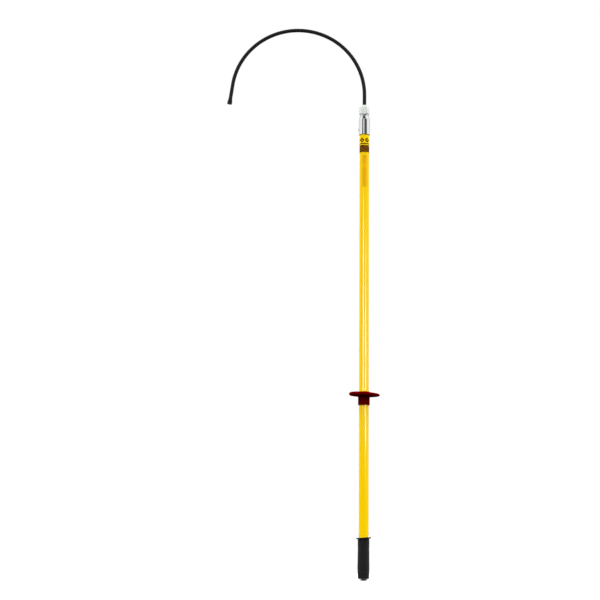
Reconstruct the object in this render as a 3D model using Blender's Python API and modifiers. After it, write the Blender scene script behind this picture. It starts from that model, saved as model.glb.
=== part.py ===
# Insulated rescue hook: a large coated hook clamped in a metal head, on a foam-filled
# insulating tube with a hand guard, a rubber grip and a domed metal butt.
# Metres, +Z from the butt towards the hook. The origin is the foot of the butt, on the
# tube's axis. The hook lies in the XZ plane and opens downwards, on the -X side.

from math import cos, pi, radians, sin, tan

import bmesh
import bpy
from mathutils import Matrix, Vector

GAP = 0.0003                 # clearance between pieces that touch on the real thing
ROUND_STEPS = 32             # facets round a turned piece that shows
INNER_STEPS = 20             # facets round a small or hidden one
MERGE = 0.00001              # distance under which turned vertices are one
SMOOTH_ANGLE = radians(35)   # edges sharper than this stay crisp

# Pole
POLE_RADIUS = 0.016
POLE_BORE = 0.013
POLE_BOTTOM = 0.0123
POLE_TOP = 1.5093

# Butt
BUTT_FOOT_RADIUS = 0.008
BUTT_DOME_HEIGHT = 0.0085
BUTT_SHOULDER = 0.012
BUTT_TOP = 0.045
BUTT_PIN_HEIGHT = 0.039
BUTT_GROOVE = (0.024, 0.0266)
BUTT_GROOVE_DEPTH = 0.002
SEAL_DISC_THICKNESS = 0.004

# Grip
GRIP_BOTTOM = 0.0095
GRIP_TOP = 0.1411
GRIP_RADIUS = 0.0185
GRIP_FLANGE_RADIUS = 0.0238
GRIP_FLANGE_HEIGHT = 0.0048

# Hand guard
GUARD_HUB_BOTTOM = 0.5704
GUARD_UNDERSIDE = 0.6002
GUARD_TOP = 0.6108
GUARD_HUB_RADIUS = 0.01915
GUARD_RADIUS = 0.0504
GUARD_FILLET = 0.0075

# Labels
LABEL_THICKNESS = 0.00025
LABEL_SPAN = (1.4130, 1.4735)
PRINT_SPAN = (1.3000, 1.4060)
PRINT_HALF_ANGLE = radians(42)

# Head
HEAD_RADIUS = 0.0187
HEAD_BOTTOM = 1.4782
HEAD_CONE_BASE = 1.5257
HEAD_NECK_BASE = 1.5430
HEAD_NECK_RADIUS = 0.0138
SOCKET_TOP = 1.5098
SEAL_RECESS_HEIGHT = 0.0030
SEAL_RECESS_RADIUS = 0.0176
SHANK_BORE_BOTTOM = 1.5180
THREAD_BASE = 1.5465
THREAD_RADIUS = 0.0120
THREAD_TOP = 1.5600
BUSH_RADIUS = 0.0075
BUSH_TOP = 1.5556
TOP_PLUG_LENGTH = 0.060
HEAD_PIN_HEIGHT = 1.4955
HEAD_PIN_RADIUS = 0.0030
HEAD_PIN_CAP_RADIUS = 0.0044
HEAD_PIN_CAP_HEIGHT = 0.0016

# Clamp nut and the stack under its shoulder
NUT_BOTTOM = 1.5474
NUT_TOP = 1.5745
NUT_ACROSS_FLATS = 0.032
NUT_SHOULDER = 1.5695
NUT_HOLE_RADIUS = 0.0076
NUT_CHAMFER_RADIUS = 0.0154
CLAMP_RING_RADIUS = 0.0115
SPRING_WASHER_THICKNESS = 0.0015
COLLAR_THICKNESS = 0.0050
THRUST_WASHER_THICKNESS = 0.0018

# Hook
HOOK_RADIUS = 0.223          # of the centreline's arc
HOOK_ARC_HEIGHT = 1.616      # height of the arc's centre
HOOK_SPLAY = radians(8.5)    # the free leg leans outwards by this much
HOOK_LEG = 0.0682            # straight free leg after the arc
HOOK_ARC_STEPS = 40
CORE_RADIUS = 0.0050
CORE_BOTTOM = 1.5190
SLEEVE_RADIUS = 0.0062
SLEEVE_BOTTOM = 1.5764
SLEEVE_FERRULE = (1.5752, 1.5806)
SLEEVE_FERRULE_RADIUS = 0.0071
CAP_LENGTH = 0.0190
CAP_MOUTH_RADIUS = 0.0069
CAP_END_RADIUS = 0.0082
CAP_FLOOR = 0.0030
BAR_BEVEL_RESOLUTION = 4     # twelve sides


def clearScene():
    for thing in list(bpy.data.objects):
        bpy.data.objects.remove(thing, do_unlink=True)


def makeCollection(name):
    group = bpy.data.collections.new(name)
    bpy.context.scene.collection.children.link(group)
    return group


def makeMaterial(name, colour, roughness, metallic=0.0):
    finish = bpy.data.materials.new(name)
    finish.use_nodes = True
    shader = finish.node_tree.nodes["Principled BSDF"]
    shader.inputs["Base Color"].default_value = (*colour, 1.0)
    shader.inputs["Roughness"].default_value = roughness
    shader.inputs["Metallic"].default_value = metallic
    return finish


def addObject(name, data, finish):
    thing = bpy.data.objects.new(name, data)
    parts.objects.link(thing)
    if finish:
        data.materials.append(finish)
    return thing


def settle(thing):
    """Replace an object's data by its evaluated mesh, shaded smooth with crisp edges."""
    bpy.context.view_layer.update()
    evaluated = thing.evaluated_get(bpy.context.evaluated_depsgraph_get())
    mesh = bpy.data.meshes.new_from_object(evaluated)
    mesh.name = thing.name
    thing.modifiers.clear()
    thing.data = mesh
    mesh.shade_smooth()
    mesh.set_sharp_from_angle(angle=SMOOTH_ANGLE)
    return thing


def turned(name, profile, finish, closed=True, steps=ROUND_STEPS):
    """Turn (radius, height) points about Z; they run down the outer side."""
    mesh = bpy.data.meshes.new(name)
    points = [(radius, 0.0, height) for radius, height in profile]
    edges = [(i, i + 1) for i in range(len(points) - 1)]
    if closed:
        edges.append((len(points) - 1, 0))
    mesh.from_pydata(points, edges, [])
    thing = addObject(name, mesh, finish)
    screw = thing.modifiers.new("Turn", "SCREW")
    screw.axis = "Z"
    screw.angle = 2 * pi
    screw.steps = steps
    screw.render_steps = steps
    screw.use_merge_vertices = True
    screw.merge_threshold = MERGE
    return settle(thing)


def brokenEdge(radius, bottom, top, chamfer):
    """The outer side of a ring or disc, top to bottom, its edges broken by a chamfer."""
    if not chamfer:
        return [(radius, top), (radius, bottom)]
    return [(radius - chamfer, top), (radius, top - chamfer), (radius, bottom + chamfer),
            (radius - chamfer, bottom)]


def ring(name, outer, inner, bottom, top, finish, chamfer=0.0, steps=INNER_STEPS):
    side = brokenEdge(outer, bottom, top, chamfer)
    return turned(name, [(inner, top)] + side + [(inner, bottom)], finish, steps=steps)


def disc(name, radius, bottom, top, finish, chamfer=0.0):
    side = brokenEdge(radius, bottom, top, chamfer)
    return turned(name, [(0.0, top)] + side + [(0.0, bottom)], finish, closed=False,
                  steps=INNER_STEPS)


def arc(centre, radius, start, stop, steps):
    """Points on an arc of (radius, height) values, from start to stop in radians."""
    return [(centre[0] + radius * cos(start + (stop - start) * i / steps),
             centre[1] + radius * sin(start + (stop - start) * i / steps))
            for i in range(steps + 1)]


def crossCutter(name, radius, height, axis):
    """A cylinder along X or Y through the pole's axis, to drill a hole."""
    shape = bmesh.new()
    bmesh.ops.create_cone(shape, cap_ends=True, segments=20, radius1=radius, radius2=radius,
                          depth=4 * POLE_RADIUS)
    mesh = bpy.data.meshes.new(name)
    shape.to_mesh(mesh)
    shape.free()
    cutter = bpy.data.objects.new(name, mesh)
    cutters.objects.link(cutter)
    cutter.rotation_euler = (0.0, pi / 2, 0.0) if axis == "X" else (pi / 2, 0.0, 0.0)
    cutter.location = (0.0, 0.0, height)
    cutter.hide_render = True
    cutter.display_type = "WIRE"
    return cutter


def cut(thing, cutter, operation="DIFFERENCE"):
    boolean = thing.modifiers.new("Cut", "BOOLEAN")
    boolean.operation = operation
    boolean.object = cutter
    return settle(thing)


def toCutters(thing):
    parts.objects.unlink(thing)
    cutters.objects.link(thing)
    thing.hide_render = True
    thing.display_type = "WIRE"
    return thing


def hookPath(start, shorten=0.0):
    """Centreline from a height on the shank, round the arc, to the free leg's end."""
    points = [Vector((0.0, 0.0, start)), Vector((0.0, 0.0, HOOK_ARC_HEIGHT))]
    sweep = pi - HOOK_SPLAY
    for i in range(1, HOOK_ARC_STEPS + 1):
        angle = sweep * i / HOOK_ARC_STEPS
        points.append(Vector((HOOK_RADIUS * (cos(angle) - 1.0), 0.0,
                              HOOK_ARC_HEIGHT + HOOK_RADIUS * sin(angle))))
    points.append(points[-1] + legDirection() * (HOOK_LEG - shorten))
    return points


def legDirection():
    return Vector((-sin(HOOK_SPLAY), 0.0, -cos(HOOK_SPLAY)))


def bar(name, points, radius, finish, capped):
    """A round bar along a polyline."""
    curve = bpy.data.curves.new(name, "CURVE")
    curve.dimensions = "3D"
    curve.bevel_depth = radius
    curve.bevel_resolution = BAR_BEVEL_RESOLUTION
    curve.use_fill_caps = capped
    spline = curve.splines.new("POLY")
    spline.points.add(len(points) - 1)
    for point, place in zip(spline.points, points):
        point.co = (*place, 1.0)
    spline.use_smooth = True
    return addObject(name, curve, finish)


def makePole():
    yellow = makeMaterial("yellow_glass_fibre", (1.0, 0.62, 0.0), 0.28)
    tube = turned("pole_tube", [(POLE_BORE, POLE_TOP), (POLE_RADIUS, POLE_TOP),
                                (POLE_RADIUS, POLE_BOTTOM), (POLE_BORE, POLE_BOTTOM)], yellow)
    cut(tube, crossCutter("head_pin_hole_in_tube", HEAD_PIN_RADIUS + GAP, HEAD_PIN_HEIGHT, "X"))
    cut(tube, crossCutter("butt_pin_hole_in_tube", HEAD_PIN_RADIUS + GAP, BUTT_PIN_HEIGHT, "Y"))

    inside = POLE_BORE - GAP
    rubber = makeMaterial("seal_rubber", (0.02, 0.02, 0.02), 0.7)
    disc_bottom = BUTT_TOP + GAP
    disc_top = disc_bottom + SEAL_DISC_THICKNESS
    disc("bottom_seal_disc", inside, disc_bottom, disc_top, rubber)
    plug_bottom = POLE_TOP - TOP_PLUG_LENGTH
    foam = makeMaterial("closed_cell_foam", (0.85, 0.78, 0.55), 0.9)
    disc("foam_core", inside, disc_top + GAP, plug_bottom - GAP, foam)

    laminate = makeMaterial("laminate", (0.55, 0.5, 0.3), 0.5)
    plug = disc("top_plug", inside, plug_bottom, POLE_TOP, laminate, chamfer=0.0008)
    cut(plug, crossCutter("head_pin_hole_in_plug", HEAD_PIN_RADIUS + GAP, HEAD_PIN_HEIGHT, "X"))


def makeButt():
    bright = makeMaterial("turned_alloy", (0.75, 0.77, 0.76), 0.25, 1.0)
    spigot = POLE_BORE - GAP
    groove = spigot - BUTT_GROOVE_DEPTH
    low, high = BUTT_GROOVE
    dome = [(BUTT_FOOT_RADIUS + (POLE_RADIUS - BUTT_FOOT_RADIUS) * cos(turn),
             BUTT_DOME_HEIGHT * (1.0 - sin(turn)))
            for turn in [pi / 2 * i / 6 for i in range(7)]]
    profile = [(0.0, BUTT_TOP), (spigot - 0.0008, BUTT_TOP), (spigot, BUTT_TOP - 0.0008),
               (spigot, high), (groove, high), (groove, low), (spigot, low),
               (spigot, BUTT_SHOULDER), (POLE_RADIUS, BUTT_SHOULDER)]
    plug = turned("butt_plug", profile + dome + [(0.0, 0.0)], bright, closed=False)
    cut(plug, crossCutter("butt_pin_hole", HEAD_PIN_RADIUS + GAP, BUTT_PIN_HEIGHT, "Y"))

    rubber = makeMaterial("o_ring_rubber", (0.02, 0.02, 0.02), 0.6)
    ring("butt_o_ring", spigot, groove + GAP, low + GAP, high - GAP, rubber, chamfer=0.0004)
    steel = makeMaterial("pin_steel", (0.6, 0.6, 0.6), 0.3, 1.0)
    pin = disc("butt_pin", HEAD_PIN_RADIUS, -POLE_RADIUS + GAP, POLE_RADIUS - GAP, steel,
               chamfer=0.0006)
    pin.rotation_euler = (pi / 2, 0.0, 0.0)
    pin.location = (0.0, 0.0, BUTT_PIN_HEIGHT)


def makeGrip():
    rubber = makeMaterial("grip_rubber", (0.03, 0.03, 0.033), 0.55)
    bore = POLE_RADIUS + GAP
    flange = GRIP_TOP - GRIP_FLANGE_HEIGHT
    waist = GRIP_RADIUS - 0.0003
    swell = GRIP_RADIUS + 0.0005
    profile = [(bore, GRIP_TOP), (GRIP_FLANGE_RADIUS - 0.0014, GRIP_TOP),
               (GRIP_FLANGE_RADIUS, GRIP_TOP - 0.0014),
               (GRIP_FLANGE_RADIUS, flange + 0.0012),
               (GRIP_FLANGE_RADIUS - 0.0012, flange),
               (GRIP_RADIUS + 0.0012, flange), (GRIP_RADIUS, flange - 0.0022),
               (GRIP_RADIUS, 0.1115), (waist, 0.1085), (waist, 0.1030), (GRIP_RADIUS, 0.0920),
               (GRIP_RADIUS, 0.0700), (swell, 0.0500), (swell, 0.0360), (GRIP_RADIUS, 0.0335),
               (GRIP_RADIUS, 0.0305), (swell, 0.0275), (swell, 0.0230), (GRIP_RADIUS, 0.0180),
               (GRIP_RADIUS - 0.0002, GRIP_BOTTOM + 0.0024), (0.0175, GRIP_BOTTOM + 0.0006),
               (0.0168, GRIP_BOTTOM), (bore, GRIP_BOTTOM)]
    turned("grip", profile, rubber)


def makeGuard():
    maroon = makeMaterial("guard_vinyl", (0.11, 0.0, 0.0), 0.35)
    bore = POLE_RADIUS + GAP
    rim = 0.5 * (GUARD_TOP - GUARD_UNDERSIDE)
    rim_centre = (GUARD_RADIUS - rim, GUARD_UNDERSIDE + rim)
    fillet_centre = (GUARD_HUB_RADIUS + GUARD_FILLET, GUARD_UNDERSIDE - GUARD_FILLET)
    profile = [(bore, GUARD_TOP + 0.0040), (0.0185, GUARD_TOP + 0.0040),
               (0.0205, GUARD_TOP + 0.0020), (0.0240, GUARD_TOP + 0.0006)]
    profile += arc(rim_centre, rim, pi / 2, -pi / 2, 8)
    profile += arc(fillet_centre, GUARD_FILLET, pi / 2, pi, 5)
    profile += [(GUARD_HUB_RADIUS, GUARD_HUB_BOTTOM + 0.0010),
                (GUARD_HUB_RADIUS - 0.0010, GUARD_HUB_BOTTOM), (bore, GUARD_HUB_BOTTOM)]
    turned("hand_guard", profile, maroon)


def makeLabels():
    film = makeMaterial("label_film", (1.0, 0.64, 0.0), 0.3)
    inner = POLE_RADIUS + GAP
    ring("label_band", inner + LABEL_THICKNESS, inner, *LABEL_SPAN, film, steps=ROUND_STEPS)

    low, high = PRINT_SPAN
    sheet = bpy.data.meshes.new("print_label")
    columns = 9
    angles = [-PRINT_HALF_ANGLE + 2 * PRINT_HALF_ANGLE * i / (columns - 1)
              for i in range(columns)]
    points = [(inner * sin(a), -inner * cos(a), z) for z in (low, high) for a in angles]
    faces = [(i, i + 1, i + 1 + columns, i + columns) for i in range(columns - 1)]
    sheet.from_pydata(points, [], faces)
    label = addObject("print_label", sheet, film)
    wall = label.modifiers.new("Film", "SOLIDIFY")
    wall.thickness = LABEL_THICKNESS
    wall.offset = 1.0
    settle(label)


def makeHead():
    polished = makeMaterial("polished_nickel", (0.72, 0.74, 0.74), 0.12, 1.0)
    bush_bore = BUSH_RADIUS + GAP
    socket = POLE_RADIUS + GAP
    profile = [(0.0, SHANK_BORE_BOTTOM), (bush_bore, SHANK_BORE_BOTTOM), (bush_bore, THREAD_TOP),
               (THREAD_RADIUS - 0.0010, THREAD_TOP), (THREAD_RADIUS, THREAD_TOP - 0.0010),
               (THREAD_RADIUS, THREAD_BASE), (HEAD_NECK_RADIUS - 0.0005, THREAD_BASE),
               (HEAD_NECK_RADIUS, THREAD_BASE - 0.0005),
               (HEAD_NECK_RADIUS, HEAD_NECK_BASE), (HEAD_RADIUS - 0.0006, HEAD_CONE_BASE),
               (HEAD_RADIUS, HEAD_CONE_BASE - 0.0012),
               (HEAD_RADIUS, HEAD_BOTTOM + 0.0005), (HEAD_RADIUS - 0.0005, HEAD_BOTTOM),
               (SEAL_RECESS_RADIUS, HEAD_BOTTOM),
               (SEAL_RECESS_RADIUS, HEAD_BOTTOM + SEAL_RECESS_HEIGHT),
               (socket, HEAD_BOTTOM + SEAL_RECESS_HEIGHT), (socket, SOCKET_TOP),
               (0.0, SOCKET_TOP)]
    body = turned("head_body", profile, polished, closed=False)
    cut(body, crossCutter("head_pin_hole_in_body", HEAD_PIN_RADIUS + GAP, HEAD_PIN_HEIGHT, "X"))

    rubber = makeMaterial("head_seal_rubber", (0.02, 0.02, 0.02), 0.6)
    ring("head_seal", SEAL_RECESS_RADIUS - GAP, socket, HEAD_BOTTOM + 0.0002,
         HEAD_BOTTOM + SEAL_RECESS_HEIGHT - GAP, rubber)

    bronze = makeMaterial("bush_bronze", (0.5, 0.33, 0.14), 0.35, 1.0)
    ring("shank_bush", BUSH_RADIUS, CORE_RADIUS + GAP, SHANK_BORE_BOTTOM + GAP, BUSH_TOP, bronze)
    ring("shank_seal", BUSH_RADIUS - 0.0002, CORE_RADIUS + GAP, BUSH_TOP + GAP,
         THREAD_TOP - 0.0008, rubber, chamfer=0.0004)
    makeHeadPin()


def makeHeadPin():
    """A cross pin with a domed head on the -X side and a flush end on the +X side."""
    steel = makeMaterial("head_pin_steel", (0.45, 0.5, 0.56), 0.35, 1.0)
    seat = HEAD_RADIUS + GAP
    dome = [(HEAD_PIN_CAP_RADIUS * sin(turn), seat + HEAD_PIN_CAP_HEIGHT * cos(turn))
            for turn in [pi / 2 * i / 5 for i in range(6)]]
    profile = dome + [(HEAD_PIN_RADIUS, seat),
                      (HEAD_PIN_RADIUS, -HEAD_RADIUS + 0.0008),
                      (HEAD_PIN_RADIUS - 0.0006, -HEAD_RADIUS + GAP),
                      (0.0, -HEAD_RADIUS + GAP)]
    pin = turned("head_pin", profile, steel, closed=False, steps=INNER_STEPS)
    pin.rotation_euler = (0.0, -pi / 2, 0.0)
    pin.location = (0.0, 0.0, HEAD_PIN_HEIGHT)


def makeNut(axis):
    plated = makeMaterial("plated_nut", (0.68, 0.71, 0.69), 0.3, 1.0)
    corner = NUT_ACROSS_FLATS / 2 / cos(pi / 6)
    height = NUT_TOP - NUT_BOTTOM
    shape = bmesh.new()
    bmesh.ops.create_cone(shape, cap_ends=True, segments=6, radius1=corner, radius2=corner,
                          depth=height, matrix=Matrix.Rotation(pi / 6, 4, "Z"))
    mesh = bpy.data.meshes.new("clamp_nut")
    shape.to_mesh(mesh)
    shape.free()
    nut = addObject("clamp_nut", mesh, plated)
    mesh.transform(Matrix.Translation((0.0, 0.0, NUT_BOTTOM + height / 2)))

    drop = (corner + 0.001 - NUT_CHAMFER_RADIUS) * tan(pi / 6)
    barrel = [(0.0, NUT_TOP), (NUT_CHAMFER_RADIUS, NUT_TOP), (corner + 0.001, NUT_TOP - drop),
              (corner + 0.001, NUT_BOTTOM + drop), (NUT_CHAMFER_RADIUS, NUT_BOTTOM),
              (0.0, NUT_BOTTOM)]
    cut(nut, toCutters(turned("nut_chamfer", barrel, None, closed=False)), "INTERSECT")

    thread = THREAD_RADIUS + GAP
    bore = [(0.0, NUT_TOP + 0.002), (NUT_HOLE_RADIUS + 0.0026, NUT_TOP + 0.002),
            (NUT_HOLE_RADIUS, NUT_TOP - 0.0006), (NUT_HOLE_RADIUS, NUT_SHOULDER),
            (thread, NUT_SHOULDER), (thread, NUT_BOTTOM + 0.0012),
            (thread + 0.0032, NUT_BOTTOM - 0.002), (0.0, NUT_BOTTOM - 0.002)]
    cut(nut, toCutters(turned("nut_bore", bore, None, closed=False)))
    nut.parent = axis


def makeClampStack(nut_axis, hook_axis):
    """Spring washer, hook collar and thrust washer, one above the other inside the nut."""
    steel = makeMaterial("washer_steel", (0.55, 0.55, 0.55), 0.35, 1.0)
    bore = CORE_RADIUS + GAP
    bottom = THREAD_TOP + GAP
    ring("spring_washer", CLAMP_RING_RADIUS, bore + GAP, bottom,
         bottom + SPRING_WASHER_THICKNESS, steel)
    bottom += SPRING_WASHER_THICKNESS + GAP
    collar = ring("hook_collar", CLAMP_RING_RADIUS, bore, bottom, bottom + COLLAR_THICKNESS,
                  steel, chamfer=0.0006)
    collar.parent = hook_axis
    bottom += COLLAR_THICKNESS + GAP
    brass = makeMaterial("thrust_brass", (0.6, 0.45, 0.18), 0.3, 1.0)
    thrust = ring("thrust_washer", CLAMP_RING_RADIUS, SLEEVE_FERRULE_RADIUS + GAP, bottom,
                  bottom + THRUST_WASHER_THICKNESS, brass)
    thrust.parent = nut_axis


def makeHook(axis):
    steel = makeMaterial("hook_steel", (0.5, 0.5, 0.52), 0.35, 1.0)
    black = makeMaterial("black_insulation", (0.012, 0.012, 0.013), 0.38)
    core = bar("hook_core", hookPath(CORE_BOTTOM, shorten=CAP_FLOOR + GAP), CORE_RADIUS,
               steel, capped=True)
    core.parent = axis

    sleeve = bar("hook_sleeve", hookPath(SLEEVE_BOTTOM, shorten=CAP_FLOOR + GAP),
                 SLEEVE_RADIUS, black, capped=False)
    wall = sleeve.modifiers.new("Wall", "SOLIDIFY")
    wall.thickness = SLEEVE_RADIUS - CORE_RADIUS - GAP
    wall.offset = -1.0
    sleeve.parent = axis

    low, high = SLEEVE_FERRULE
    crimp = makeMaterial("crimp_alloy", (0.62, 0.64, 0.63), 0.3, 1.0)
    ferrule = turned("sleeve_ferrule",
                     [(SLEEVE_RADIUS + GAP, high), (SLEEVE_FERRULE_RADIUS, high),
                      (SLEEVE_FERRULE_RADIUS, low), (CORE_RADIUS + GAP, low),
                      (CORE_RADIUS + GAP, SLEEVE_BOTTOM - GAP),
                      (SLEEVE_RADIUS + GAP, SLEEVE_BOTTOM - GAP)], crimp, steps=INNER_STEPS)
    ferrule.parent = axis
    makeTipCap(axis, black)


def makeTipCap(axis, finish):
    """A flared cup over the free end; its own +Z points back along the leg."""
    inner = SLEEVE_RADIUS + GAP
    profile = [(0.0, CAP_FLOOR), (inner, CAP_FLOOR), (inner, CAP_LENGTH),
               (CAP_MOUTH_RADIUS, CAP_LENGTH), (CAP_END_RADIUS - 0.0003, CAP_LENGTH * 0.5),
               (CAP_END_RADIUS, 0.0022), (CAP_END_RADIUS, 0.0010),
               (CAP_END_RADIUS - 0.0010, 0.0), (0.0, 0.0)]
    cap = turned("hook_tip_cap", profile, finish, closed=False)
    cap.rotation_euler = (0.0, HOOK_SPLAY, 0.0)
    cap.location = hookPath(CORE_BOTTOM)[-1]
    cap.parent = axis


def makeAxis(name):
    """An empty on the pole's axis that carries the pieces of one moving body."""
    empty = bpy.data.objects.new(name, None)
    parts.objects.link(empty)
    return empty


clearScene()
parts = makeCollection("rescue_hook")
cutters = makeCollection("cutters")
nut_axis = makeAxis("nut_axis")
hook_axis = makeAxis("hook_axis")
makePole()
makeButt()
makeGrip()
makeGuard()
makeLabels()
makeHead()
makeNut(nut_axis)
makeClampStack(nut_axis, hook_axis)
makeHook(hook_axis)
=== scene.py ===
# Insulated rescue hook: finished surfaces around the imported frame.
from math import atan2, cos, pi, radians, sin, sqrt, tan

import bpy
from mathutils import Matrix, Vector


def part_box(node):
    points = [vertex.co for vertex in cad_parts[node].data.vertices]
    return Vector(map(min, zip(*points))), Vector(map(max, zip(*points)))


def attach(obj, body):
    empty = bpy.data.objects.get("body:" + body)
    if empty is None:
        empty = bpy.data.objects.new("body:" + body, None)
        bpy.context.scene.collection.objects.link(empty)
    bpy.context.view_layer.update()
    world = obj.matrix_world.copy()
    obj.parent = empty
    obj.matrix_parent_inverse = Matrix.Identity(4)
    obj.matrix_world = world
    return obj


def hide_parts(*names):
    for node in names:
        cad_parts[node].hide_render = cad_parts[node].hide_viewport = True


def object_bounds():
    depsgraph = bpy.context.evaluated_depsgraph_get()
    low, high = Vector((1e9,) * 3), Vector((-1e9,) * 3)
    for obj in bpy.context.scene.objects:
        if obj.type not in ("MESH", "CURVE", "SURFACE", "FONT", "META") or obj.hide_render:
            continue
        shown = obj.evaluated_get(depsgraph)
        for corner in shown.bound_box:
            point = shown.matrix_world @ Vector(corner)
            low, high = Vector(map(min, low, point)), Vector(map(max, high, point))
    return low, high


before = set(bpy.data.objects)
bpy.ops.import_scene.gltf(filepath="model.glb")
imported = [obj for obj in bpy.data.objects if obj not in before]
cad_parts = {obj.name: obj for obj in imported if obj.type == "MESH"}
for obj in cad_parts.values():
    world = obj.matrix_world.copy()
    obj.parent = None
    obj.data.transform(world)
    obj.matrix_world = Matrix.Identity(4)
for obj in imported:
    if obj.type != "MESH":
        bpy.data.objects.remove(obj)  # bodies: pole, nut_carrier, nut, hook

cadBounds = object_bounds()
mm = 0.001
print("frame loaded:", len(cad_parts), "nodes")


class Value:  # a socket that can stand in sums
    def __init__(self, nodes, socket):
        self.nodes = nodes
        self.socket = socket

    def __add__(self, other):
        return self.nodes.math("ADD", self, other)

    def __sub__(self, other):
        return self.nodes.math("SUBTRACT", self, other)

    def __rsub__(self, other):
        return self.nodes.math("SUBTRACT", other, self)

    def __mul__(self, other):
        return self.nodes.math("MULTIPLY", self, other)

    def __truediv__(self, other):
        return self.nodes.math("DIVIDE", self, other)

    def __lt__(self, other):
        return self.nodes.math("LESS_THAN", self, other)

    def __gt__(self, other):
        return self.nodes.math("GREATER_THAN", self, other)

    __radd__ = __add__
    __rmul__ = __mul__


class Nodes:  # a shader tree and what its nodes are made with
    def __init__(self, tree):
        self.tree = tree

    def feed(self, socket, value):
        if isinstance(value, Value):
            self.tree.links.new(value.socket, socket)
        else:
            socket.default_value = value

    def node(self, kind, settings=None, sockets=None, out=0):
        made = self.tree.nodes.new(kind)
        for label, value in (settings or {}).items():
            setattr(made, label, value)
        for label, value in (sockets or {}).items():
            self.feed(made.inputs[label], value)
        return Value(self, made.outputs[out])

    def math(self, operation, a, b=0.0):
        return self.node("ShaderNodeMath", {"operation": operation}, {0: a, 1: b})

    def parts(self, vector):
        split = self.tree.nodes.new("ShaderNodeSeparateXYZ")
        self.feed(split.inputs[0], vector)
        return [Value(self, output) for output in split.outputs]

    def blend(self, factor, a, b):  # colours
        return self.node("ShaderNodeMix", {"data_type": "RGBA"}, {0: factor, 6: a, 7: b}, out=2)

    def ramp(self, value, low, high):  # 0 at low, 1 at high, which may be below it
        return self.node("ShaderNodeMapRange", {"clamp": True},
                         {0: value, 1: low, 2: high, 3: 0.0, 4: 1.0})

    def within(self, value, low, high, soft):  # 1 between low and high
        return (self.ramp(value, low - soft, low + soft)
                * self.ramp(value, high + soft, high - soft))


class Paint(Nodes):  # one material, its Principled shader and what feeds it
    def __init__(self, name, **fixed):
        self.material = bpy.data.materials.new(name)
        self.material.use_nodes = True
        super().__init__(self.material.node_tree)
        self.shader = self.tree.nodes["Principled BSDF"]
        for label, value in fixed.items():
            self.shader.inputs[label.replace("_", " ")].default_value = value
        self.place = self.node("ShaderNodeTexCoord", out="Object")
        self.x, self.y, self.z = self.parts(self.place)

    def stretched(self, x, y, z):  # the object's coordinates, scaled
        return self.node("ShaderNodeMapping", None, {0: self.place, 3: (x, y, z)})

    def noise(self, scale, detail=3.0, roughness=0.55, vector=None):
        return self.node("ShaderNodeTexNoise", None,
                         {"Vector": vector or self.place, "Scale": scale, "Detail": detail,
                          "Roughness": roughness})

    def around(self):  # turns round the pole, from -0.5 to 0.5, 0 at the front
        return self.math("ARCTAN2", self.x, 0.0 - self.y) / (2 * pi)

    def bump(self, height, distance, strength=1.0, under=None):
        sockets = {"Height": height, "Distance": distance, "Strength": strength}
        if under:
            sockets["Normal"] = under
        return self.node("ShaderNodeBump", None, sockets)

    def finish(self, **links):
        for label, value in links.items():
            self.feed(self.shader.inputs[label.replace("_", " ")], value)
        return self.material


def rgb(red, green, blue):  # screen values from 0 to 255, as the shader wants them
    return tuple([(v / 255 / 12.92) if v < 10.3 else ((v / 255 + 0.055) / 1.055) ** 2.4
                  for v in (red, green, blue)] + [1.0])


poleLook = {"yellow": rgb(250, 209, 0), "deep": rgb(244, 201, 0), "scuff": rgb(252, 222, 90),
            "roughness": 0.12, "fibres": 260.0}


def poleResin():
    look = poleLook
    paint = Paint("poleResin", Specular_IOR_Level=0.06)
    streaks = paint.noise(1.0, 4.0, 0.6, paint.stretched(look["fibres"], look["fibres"], 1.5))
    clouds = paint.noise(9.0)
    scuffs = paint.ramp(paint.noise(1.0, 5.0, 0.7, paint.stretched(90.0, 90.0, 14.0)), 0.68, 0.78)
    colour = paint.blend(streaks * 0.5 + clouds * 0.3, look["yellow"], look["deep"])
    colour = paint.blend(scuffs * 0.25, colour, look["scuff"])
    rough = look["roughness"] + clouds * 0.01 + scuffs * 0.05
    return paint.finish(Base_Color=colour, Roughness=rough,
                        Normal=paint.bump(clouds, 0.00002, 0.1))


labelLook = {"film": rgb(252, 212, 0), "ink": rgb(80, 40, 4), "brown": rgb(78, 44, 8),
             "detail": rgb(150, 104, 22), "radius": 0.0162, "markHeight": 1.4578,
             "markHalf": 0.0092, "markStroke": 0.00616, "markPitch": 0.0182, "markSlope": 1.05,
             "lineHeight": 1.4459, "lineHalf": 0.0019, "blockHeight": 1.4286,
             "blockHalf": 0.0124, "rowPitch": 0.0043, "dashes": (420.0, 420.0, 232.0)}


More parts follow.
